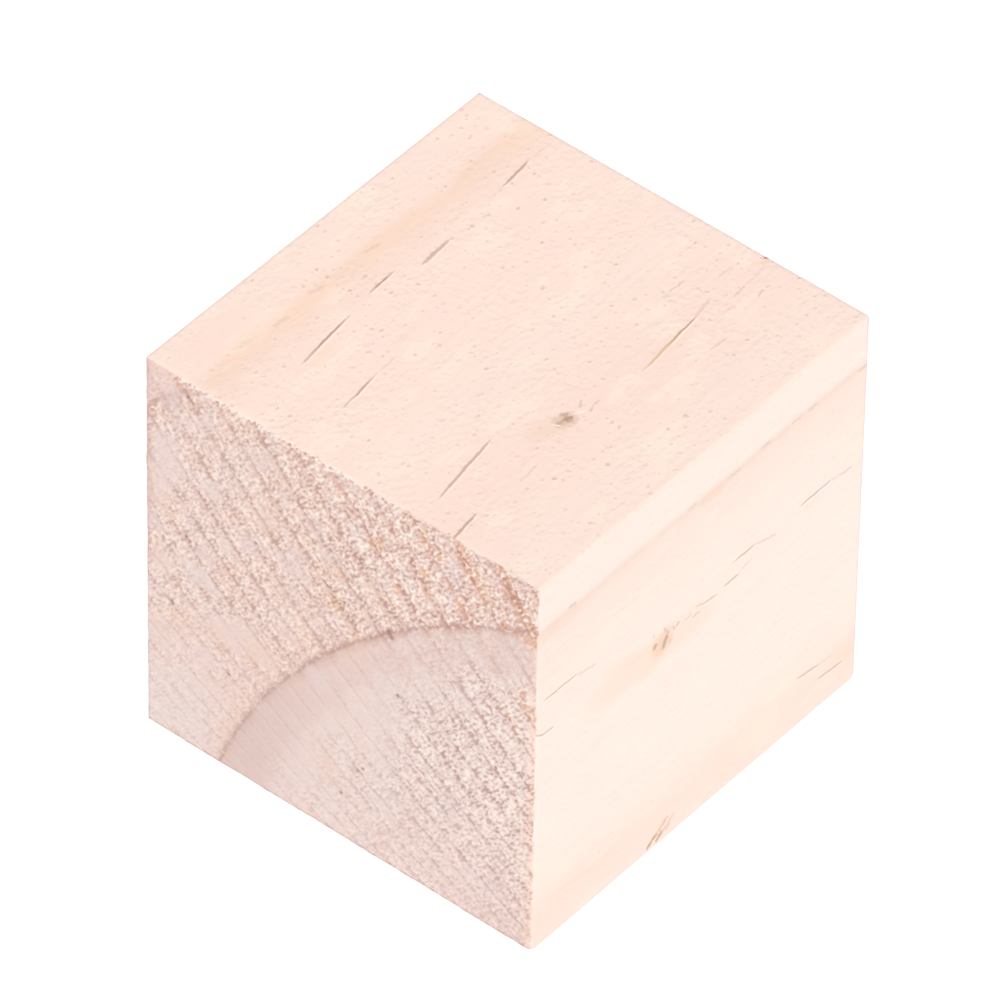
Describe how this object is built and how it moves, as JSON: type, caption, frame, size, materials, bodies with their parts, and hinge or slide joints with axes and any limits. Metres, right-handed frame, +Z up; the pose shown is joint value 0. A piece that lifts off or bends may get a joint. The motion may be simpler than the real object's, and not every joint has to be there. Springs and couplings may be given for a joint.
{
  "type": "wooden cube",
  "caption": "Plain softwood cube with planed long-grain sides, saw-marked end grain, lightly eased edges and a small bruise at a lower corner.",
  "frame": {"origin": "centre of the bounding box's bottom, on the face that the cube rests on", "axes": "+Z up; the grain runs along Y, with a sawn end at -Y and at +Y; X runs across the grain, between two planed sides"},
  "size_m": [0.03, 0.0306, 0.03],
  "materials": {
    "pine": "bare planed softwood, matt, with sawn end grain"
  },
  "bodies": {
    "root": {"wooden_cube": "pine"}
  },
  "joints": []
}
